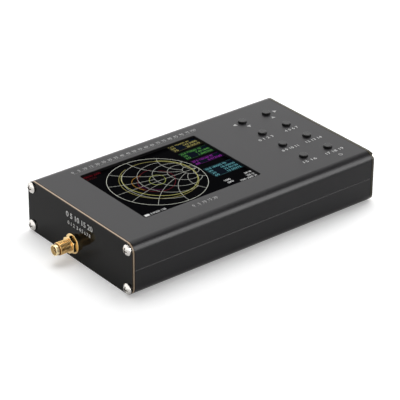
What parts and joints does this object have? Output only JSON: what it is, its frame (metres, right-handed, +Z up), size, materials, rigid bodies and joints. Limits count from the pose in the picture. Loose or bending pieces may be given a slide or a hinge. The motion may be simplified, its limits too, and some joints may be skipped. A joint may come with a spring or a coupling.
{
  "type": "antenna analyzer",
  "caption": "Flat handheld radio antenna analyzer with a split extruded case, screwed end panels, a colour screen, round push keys and a threaded test port.",
  "frame": {"origin": "middle of the flat face that the instrument rests on", "axes": "+Z up through the screen, -X along the test port's axis, +Y towards the long side above the screen"},
  "size_m": [0.1589, 0.081, 0.0277],
  "materials": {
    "anodised_case": "black anodised, fine satin",
    "black_board": "black solder mask, bare tan edge",
    "nickel_screw": "bright nickel plate",
    "gold_plate": "gold plate",
    "white_insulator": "smooth",
    "green_board": "green solder mask",
    "steel_tray": "tinned, satin",
    "light_guide": "clear frosted",
    "screen_glass": "polished, dark",
    "black_foam": "matt foam",
    "amber_flex": "smooth amber film",
    "ivory_plastic": "moulded",
    "black_plastic": "moulded",
    "key_black": "satin moulded",
    "stem_grey": "moulded",
    "silver_foil": "pouch foil",
    "red_lead": "insulated wire",
    "clear_lens": "clear"
  },
  "bodies": {
    "case": {"battery": "silver_foil", "battery_leads": "red_lead", "battery_pad": "black_foam", "battery_plug": "ivory_plastic", "battery_socket": "ivory_plastic", "battery_strip": "amber_flex", "board_header": "black_plastic", "board_socket": "black_plastic", "bottom_shell": "anodised_case", "charge_led": "clear_lens", "charger_chip": "black_plastic", "display_backlight": "light_guide", "display_board": "green_board", "display_frame": "steel_tray", "display_gasket": "black_foam", "display_glass": "screen_glass", "display_pad": "black_foam", "display_ribbon": "amber_flex", "front_panel": "black_board", "front_panel_screws": "nickel_screw", "header_pins": "gold_plate", "led_holder": "black_plastic", "main_board": "green_board", "power_inductor": "black_plastic", "processor": "black_plastic", "rear_panel": "black_board", "rear_panel_screws": "nickel_screw", "rf_mixer": "black_plastic", "rf_synthesizer": "black_plastic", "ribbon_socket": "ivory_plastic", "shield_frame": "steel_tray", "shield_lid": "steel_tray", "switch_covers": "steel_tray", "switch_domes": "steel_tray", "switch_housings": "black_plastic", "test_port_body": "gold_plate", "test_port_contact": "gold_plate", "test_port_insulator": "white_insulator", "test_port_nut": "gold_plate", "test_port_washer": "gold_plate", "top_shell": "anodised_case", "usb_shell": "steel_tray", "usb_tongue": "black_plastic"},
    "key_1": {"key_cap_1": "key_black", "key_stem_1": "stem_grey"},
    "key_2": {"key_cap_2": "key_black", "key_stem_2": "stem_grey"},
    "key_3": {"key_cap_3": "key_black", "key_stem_3": "stem_grey"},
    "key_4": {"key_cap_4": "key_black", "key_stem_4": "stem_grey"},
    "key_5": {"key_cap_5": "key_black", "key_stem_5": "stem_grey"},
    "key_6": {"key_cap_6": "key_black", "key_stem_6": "stem_grey"},
    "key_7": {"key_cap_7": "key_black", "key_stem_7": "stem_grey"},
    "key_8": {"key_cap_8": "key_black", "key_stem_8": "stem_grey"}
  },
  "joints": [
    {"name": "key_1_press", "type": "slide", "parent": "case", "child": "key_1", "axis": [0, 0, -1], "range_m": [0, 0.00025], "stiffness_N_per_m": 1000, "springref_m": -0.0001},
    {"name": "key_2_press", "type": "slide", "parent": "case", "child": "key_2", "axis": [0, 0, -1], "range_m": [0, 0.00025], "stiffness_N_per_m": 1000, "springref_m": -0.0001},
    {"name": "key_3_press", "type": "slide", "parent": "case", "child": "key_3", "axis": [0, 0, -1], "range_m": [0, 0.00025], "stiffness_N_per_m": 1000, "springref_m": -0.0001},
    {"name": "key_4_press", "type": "slide", "parent": "case", "child": "key_4", "axis": [0, 0, -1], "range_m": [0, 0.00025], "stiffness_N_per_m": 1000, "springref_m": -0.0001},
    {"name": "key_5_press", "type": "slide", "parent": "case", "child": "key_5", "axis": [0, 0, -1], "range_m": [0, 0.00025], "stiffness_N_per_m": 1000, "springref_m": -0.0001},
    {"name": "key_6_press", "type": "slide", "parent": "case", "child": "key_6", "axis": [0, 0, -1], "range_m": [0, 0.00025], "stiffness_N_per_m": 1000, "springref_m": -0.0001},
    {"name": "key_7_press", "type": "slide", "parent": "case", "child": "key_7", "axis": [0, 0, -1], "range_m": [0, 0.00025], "stiffness_N_per_m": 1000, "springref_m": -0.0001},
    {"name": "key_8_press", "type": "slide", "parent": "case", "child": "key_8", "axis": [0, 0, -1], "range_m": [0, 0.00025], "stiffness_N_per_m": 1000, "springref_m": -0.0001}
  ]
}
